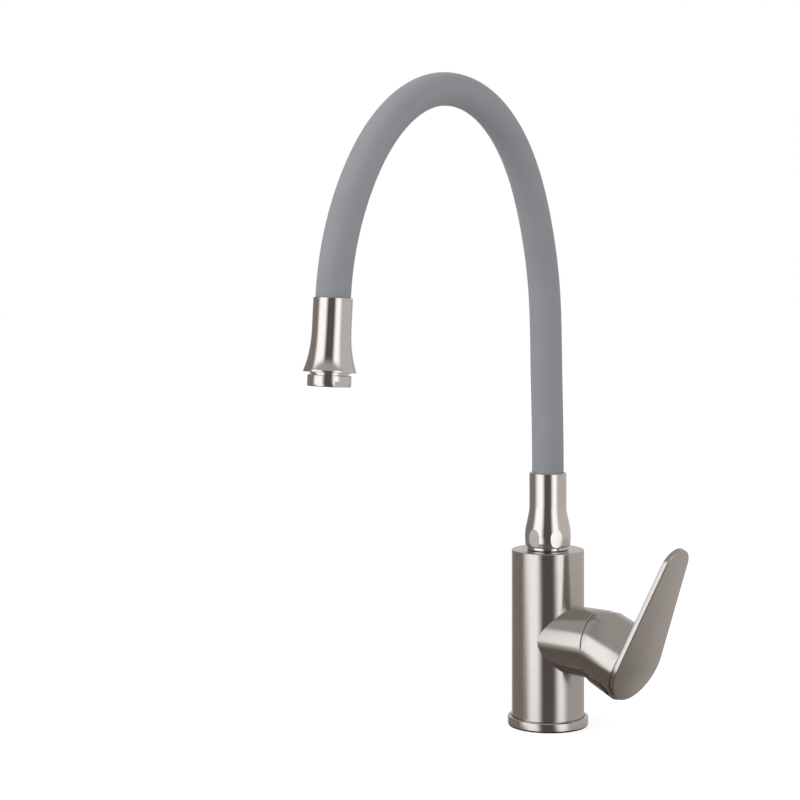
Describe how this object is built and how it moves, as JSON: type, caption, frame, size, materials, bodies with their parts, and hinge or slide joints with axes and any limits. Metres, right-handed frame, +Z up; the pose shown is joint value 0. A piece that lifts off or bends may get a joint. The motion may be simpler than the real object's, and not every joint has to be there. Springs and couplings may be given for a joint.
{
  "type": "flexible kitchen faucet",
  "caption": "Single-lever deck-mounted kitchen mixer in brushed steel, with a bendable grey silicone hose spout that swivels and ends in a flared spray head with an aerator.",
  "frame": {"origin": "on the body's axis at the deck plane, which is the base gasket's underside", "axes": "+Z up along the body, +X along the lever's branch, and the spout arches over -Y"},
  "size_m": [0.126, 0.241, 0.4496],
  "materials": {
    "steel": "brushed, satin",
    "nickel": "satin nickel plate, nearly polished",
    "brass": "turned, unplated",
    "rubber": "matt black",
    "silicone": "matt grey silicone",
    "gooseneck": "bare wound steel, out of sight",
    "acetal": "moulded, natural white",
    "ceramic": "ground and lapped alumina",
    "index": "red"
  },
  "bodies": {
    "tap": {"base_gasket": "rubber", "base_flange": "steel", "body_shell": "steel", "waterway_block": "brass", "threaded_shank": "brass", "rubber_washer": "rubber", "metal_washer": "steel", "lock_nut": "brass", "cartridge_base": "acetal", "port_seal_hot": "rubber", "port_seal_cold": "rubber", "port_seal_mixed": "rubber", "cartridge_case": "acetal", "fixed_disc": "ceramic", "cartridge_nut": "brass", "cover_dome": "steel", "swivel_spigot": "brass", "spigot_oring": "rubber", "retaining_clip": "steel"},
    "turner": {"lever_carrier": "acetal", "spindle_pin": "steel"},
    "lever": {"spindle": "steel", "handle_hub": "steel", "lever_blade": "steel", "grub_screw": "steel", "index_plug": "index"},
    "disc_slider": {"moving_disc": "ceramic", "disc_pusher": "acetal"},
    "spout_foot": {"bell_nut": "nickel", "hose_ferrule": "brass", "ferrule_oring": "rubber", "sleeve_0": "silicone", "neck_0": "gooseneck"},
    "hose_1": {"sleeve_1": "silicone", "neck_1": "gooseneck"},
    "hose_2": {"sleeve_2": "silicone", "neck_2": "gooseneck"},
    "hose_3": {"sleeve_3": "silicone", "neck_3": "gooseneck"},
    "hose_4": {"sleeve_4": "silicone", "neck_4": "gooseneck"},
    "hose_5": {"sleeve_5": "silicone", "neck_5": "gooseneck"},
    "hose_6": {"sleeve_6": "silicone", "neck_6": "gooseneck"},
    "hose_7": {"sleeve_7": "silicone", "neck_7": "gooseneck"},
    "spray_end": {"sleeve_8": "silicone", "neck_8": "gooseneck", "head_shell": "nickel", "head_fitting": "brass", "aerator_housing": "nickel", "aerator_seal": "rubber", "aerator_insert": "acetal"}
  },
  "joints": [
    {"name": "handle_turn", "type": "hinge", "parent": "tap", "child": "turner", "pos_m": [0, 0, 0.0553], "axis": [1, 0, 0], "range_deg": [-45, 45]},
    {"name": "handle_lift", "type": "hinge", "parent": "turner", "child": "lever", "pos_m": [0.0413, 0, 0.0553], "axis": [0, 1, 0], "range_deg": [-23.3, 0.7]},
    {"name": "disc_slide", "type": "slide", "parent": "turner", "child": "disc_slider", "axis": [0, 0, 1], "range_m": [-0.0058, 0.0003]},
    {"name": "spout_swivel", "type": "hinge", "parent": "tap", "child": "spout_foot", "pos_m": [0, 0, 0.12], "axis": [0, 0, 1], "continuous": true},
    {"name": "bend_1", "type": "hinge", "parent": "spout_foot", "child": "hose_1", "pos_m": [0, -0.00107, 0.18617], "axis": [-1, 0, 0], "range_deg": [-12, 30]},
    {"name": "sway_2", "type": "hinge", "parent": "hose_1", "child": "hose_2", "pos_m": [0, -0.00325, 0.2431], "axis": [0, 0.9993, 0.0382], "range_deg": [-25, 25]},
    {"name": "bend_3", "type": "hinge", "parent": "hose_2", "child": "hose_3", "pos_m": [0, -0.00908, 0.29956], "axis": [-1, 0, 0], "range_deg": [-12, 30]},
    {"name": "sway_4", "type": "hinge", "parent": "hose_3", "child": "hose_4", "pos_m": [0, -0.02893, 0.35263], "axis": [0, 0.8799, 0.4751], "range_deg": [-25, 25]},
    {"name": "bend_5", "type": "hinge", "parent": "hose_4", "child": "hose_5", "pos_m": [0, -0.07099, 0.38944], "axis": [-1, 0, 0], "range_deg": [-12, 30]},
    {"name": "sway_6", "type": "hinge", "parent": "hose_5", "child": "hose_6", "pos_m": [0, -0.12639, 0.38834], "axis": [0, -0.3822, 0.9241], "range_deg": [-25, 25]},
    {"name": "bend_7", "type": "hinge", "parent": "hose_6", "child": "hose_7", "pos_m": [0, -0.16922, 0.35203], "axis": [-1, 0, 0], "range_deg": [-12, 30]},
    {"name": "sway_8", "type": "hinge", "parent": "hose_7", "child": "spray_end", "pos_m": [0, -0.19326, 0.30076], "axis": [0, -0.95, 0.3123], "range_deg": [-25, 25]}
  ],
  "couplings": [
    {"joint": "disc_slide", "follows": "handle_lift", "m_per_rad": 0.014006}
  ]
}
